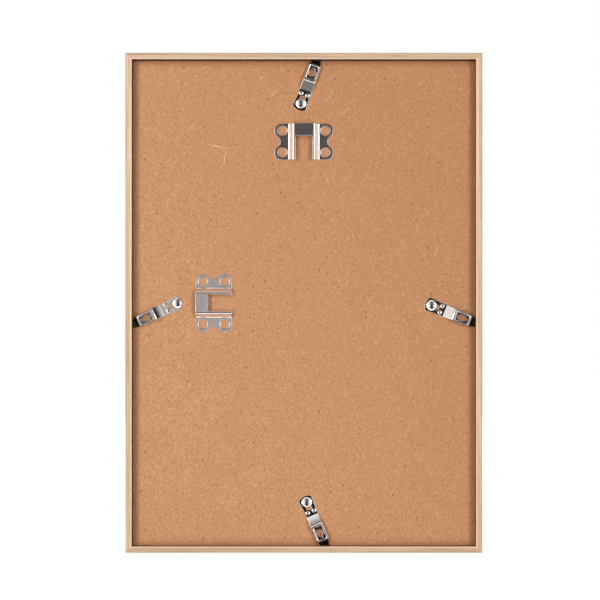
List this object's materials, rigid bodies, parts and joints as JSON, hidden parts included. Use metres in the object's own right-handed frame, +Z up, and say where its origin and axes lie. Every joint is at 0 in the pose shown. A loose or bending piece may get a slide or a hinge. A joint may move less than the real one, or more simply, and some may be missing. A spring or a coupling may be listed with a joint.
{
  "type": "picture frame",
  "caption": "Slim wooden picture frame for a standard sheet, with a recessed hardboard back held by turning spring clips and sawtooth hangers for upright or sideways hanging.",
  "frame": {"origin": "seat of the portrait hanger's nail: on the frame's middle line, in the plane of the rails' back edges that lie on the wall, at the height of the middle tooth gap", "axes": "+X across the frame, +Y from the wall towards the viewer of the picture, +Z up as hung upright; the back with the clips faces -Y"},
  "size_m": [0.2186, 0.018, 0.306],
  "materials": {
    "rail_wood": "sanded pale wood",
    "hardboard": "smooth hardboard",
    "clip_steel": "bright plated",
    "rivet_steel": "bright plated",
    "hanger_steel": "plated, fine brushed",
    "nail_steel": "bare",
    "clear_glass": "polished",
    "insert_paper": "plain matt"
  },
  "bodies": {
    "frame": {"top_rail": "rail_wood", "right_rail": "rail_wood", "bottom_rail": "rail_wood", "left_rail": "rail_wood", "corner_nail_top_left": "nail_steel", "corner_nail_top_right": "nail_steel", "corner_nail_bottom_left": "nail_steel", "corner_nail_bottom_right": "nail_steel", "glazing_sheet": "clear_glass", "insert_sheet": "insert_paper", "back_panel": "hardboard", "portrait_hanger": "hanger_steel", "landscape_hanger": "hanger_steel"},
    "top_rivet": {"top_rivet": "rivet_steel"},
    "top_clip": {"top_clip": "clip_steel"},
    "right_rivet": {"right_rivet": "rivet_steel"},
    "right_clip": {"right_clip": "clip_steel"},
    "bottom_rivet": {"bottom_rivet": "rivet_steel"},
    "bottom_clip": {"bottom_clip": "clip_steel"},
    "left_rivet": {"left_rivet": "rivet_steel"},
    "left_clip": {"left_clip": "clip_steel"}
  },
  "joints": [
    {"name": "top_clip_turn", "type": "hinge", "parent": "frame", "child": "top_rivet", "pos_m": [-0.0018, 0.0072, 0.01965], "axis": [0, 1, 0], "range_deg": [-4, 108]},
    {"name": "top_clip_slide", "type": "slide", "parent": "top_rivet", "child": "top_clip", "axis": [-0.3486, 0, -0.9373], "range_m": [0, 0.002]},
    {"name": "right_clip_turn", "type": "hinge", "parent": "frame", "child": "right_rivet", "pos_m": [0.07865, 0.0072, -0.1046], "axis": [0, 1, 0], "range_deg": [-6, 320]},
    {"name": "right_clip_slide", "type": "slide", "parent": "right_rivet", "child": "right_clip", "axis": [-0.9239, 0, 0.3827], "range_m": [0, 0.002]},
    {"name": "bottom_clip_turn", "type": "hinge", "parent": "frame", "child": "bottom_rivet", "pos_m": [0.0018, 0.0072, -0.22575], "axis": [0, -1, 0], "range_deg": [-3, 315]},
    {"name": "bottom_clip_slide", "type": "slide", "parent": "bottom_rivet", "child": "bottom_clip", "axis": [-0.3987, 0, 0.9171], "range_m": [0, 0.002]},
    {"name": "left_clip_turn", "type": "hinge", "parent": "frame", "child": "left_rivet", "pos_m": [-0.07835, 0.0072, -0.1034], "axis": [0, -1, 0], "range_deg": [-7, 105]},
    {"name": "left_clip_slide", "type": "slide", "parent": "left_rivet", "child": "left_clip", "axis": [0.9026, 0, 0.4305], "range_m": [0, 0.002]}
  ]
}
